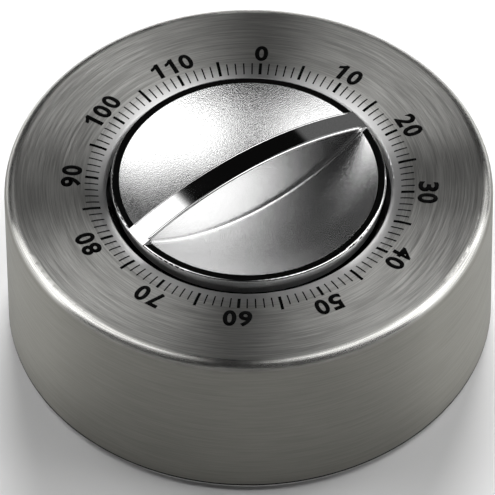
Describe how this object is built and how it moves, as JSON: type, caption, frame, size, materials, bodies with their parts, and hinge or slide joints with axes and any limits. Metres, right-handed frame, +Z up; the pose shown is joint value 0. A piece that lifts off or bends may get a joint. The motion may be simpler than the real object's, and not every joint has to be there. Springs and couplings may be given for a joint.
{
  "type": "kitchen timer",
  "caption": "Low round wind-up kitchen timer: brushed steel can with a printed minute dial, a chrome knob with an arched grip blade in a bowl, and a bell movement inside.",
  "frame": {"origin": "middle of the underside, on the surface that the feet stand on", "axes": "+Z up through the knob's axis, +Y towards the zero mark of the dial"},
  "size_m": [0.08, 0.08, 0.0364],
  "materials": {
    "case_steel": "brushed stainless steel",
    "knob_chrome": "satin bowl, polished rim and blade",
    "housing_plastic": "moulded black",
    "foot_rubber": "matte",
    "plate_steel": "plain sheet",
    "screw_steel": "zinc plated",
    "arbor_steel": "ground",
    "wheel_brass": "stamped",
    "wheel_plastic": "moulded white",
    "spring_steel": "blued strip",
    "bell_steel": "plated"
  },
  "bodies": {
    "case": {"case_shell": "case_steel", "base_plate": "case_steel", "feet": "foot_rubber", "base_screws": "screw_steel", "inner_housing": "housing_plastic", "top_plate": "plate_steel", "bottom_plate": "plate_steel", "pillars": "arbor_steel", "pillar_screws": "screw_steel", "movement_screws": "screw_steel", "main_bush_top": "wheel_brass", "main_bush_bottom": "wheel_brass", "mainspring": "spring_steel", "spring_post": "arbor_steel", "hammer_spring": "spring_steel", "bell_cup": "bell_steel", "bell_post": "arbor_steel", "bell_screw": "screw_steel", "stop_pin": "arbor_steel"},
    "knob": {"knob": "knob_chrome", "knob_clip": "spring_steel", "main_arbor": "arbor_steel", "arbor_clip": "spring_steel", "ratchet_wheel": "arbor_steel", "strike_cam": "plate_steel"},
    "great_wheel": {"great_wheel": "wheel_brass", "click_pin": "arbor_steel", "click_spring": "spring_steel"},
    "click": {"click": "arbor_steel"},
    "second_arbor": {"second_pinion": "arbor_steel", "second_wheel": "wheel_plastic"},
    "third_arbor": {"third_pinion": "arbor_steel", "third_wheel": "wheel_plastic"},
    "escape_arbor": {"escape_pinion": "arbor_steel", "escape_wheel": "wheel_plastic"},
    "pallets": {"pallet_arbor": "arbor_steel", "pallet_lever": "plate_steel", "pallet_pins": "arbor_steel", "balance_bar": "wheel_brass"},
    "hammer": {"hammer_arbor": "arbor_steel", "cam_follower": "plate_steel", "hammer_arm": "plate_steel", "hammer_head": "wheel_brass"}
  },
  "joints": [
    {"name": "knob_turn", "type": "hinge", "parent": "case", "child": "knob", "pos_m": [0, 0, 0.025], "axis": [0, 0, -1], "range_deg": [-51, 300], "deforming": ["mainspring"]},
    {"name": "great_wheel_turn", "type": "hinge", "parent": "case", "child": "great_wheel", "pos_m": [0, 0, 0.0114], "axis": [0, 0, -1], "range_deg": [-51, 300]},
    {"name": "click_lift", "type": "hinge", "parent": "great_wheel", "child": "click", "pos_m": [0, -0.011, 0.0125], "axis": [0, 0, 1], "range_deg": [0, 8], "stiffness_Nm_per_rad": 0.002, "springref_deg": -5.73, "deforming": ["click_spring"]},
    {"name": "second_arbor_turn", "type": "hinge", "parent": "case", "child": "second_arbor", "pos_m": [0.0161, 0, 0.015], "axis": [0, 0, -1], "continuous": true},
    {"name": "third_arbor_turn", "type": "hinge", "parent": "case", "child": "third_arbor", "pos_m": [0.01526, 0.01292, 0.015], "axis": [0, 0, -1], "continuous": true},
    {"name": "escape_arbor_turn", "type": "hinge", "parent": "case", "child": "escape_arbor", "pos_m": [0.00557, 0.01921, 0.015], "axis": [0, 0, -1], "continuous": true},
    {"name": "pallet_swing", "type": "hinge", "parent": "case", "child": "pallets", "pos_m": [-0.00129, 0.01996, 0.015], "axis": [0, 0, 1], "range_deg": [-4, 4]},
    {"name": "hammer_swing", "type": "hinge", "parent": "case", "child": "hammer", "pos_m": [-0.01802, -0.01262, 0.015], "axis": [0, 0, 1], "range_deg": [0, 10], "stiffness_Nm_per_rad": 0.01, "springref_deg": -11.46, "deforming": ["hammer_spring"]}
  ],
  "couplings": [
    {"joint": "great_wheel_turn", "follows": "knob_turn", "ratio": 1},
    {"joint": "second_arbor_turn", "follows": "knob_turn", "ratio": -6},
    {"joint": "third_arbor_turn", "follows": "knob_turn", "ratio": 36},
    {"joint": "escape_arbor_turn", "follows": "knob_turn", "ratio": -216}
  ]
}
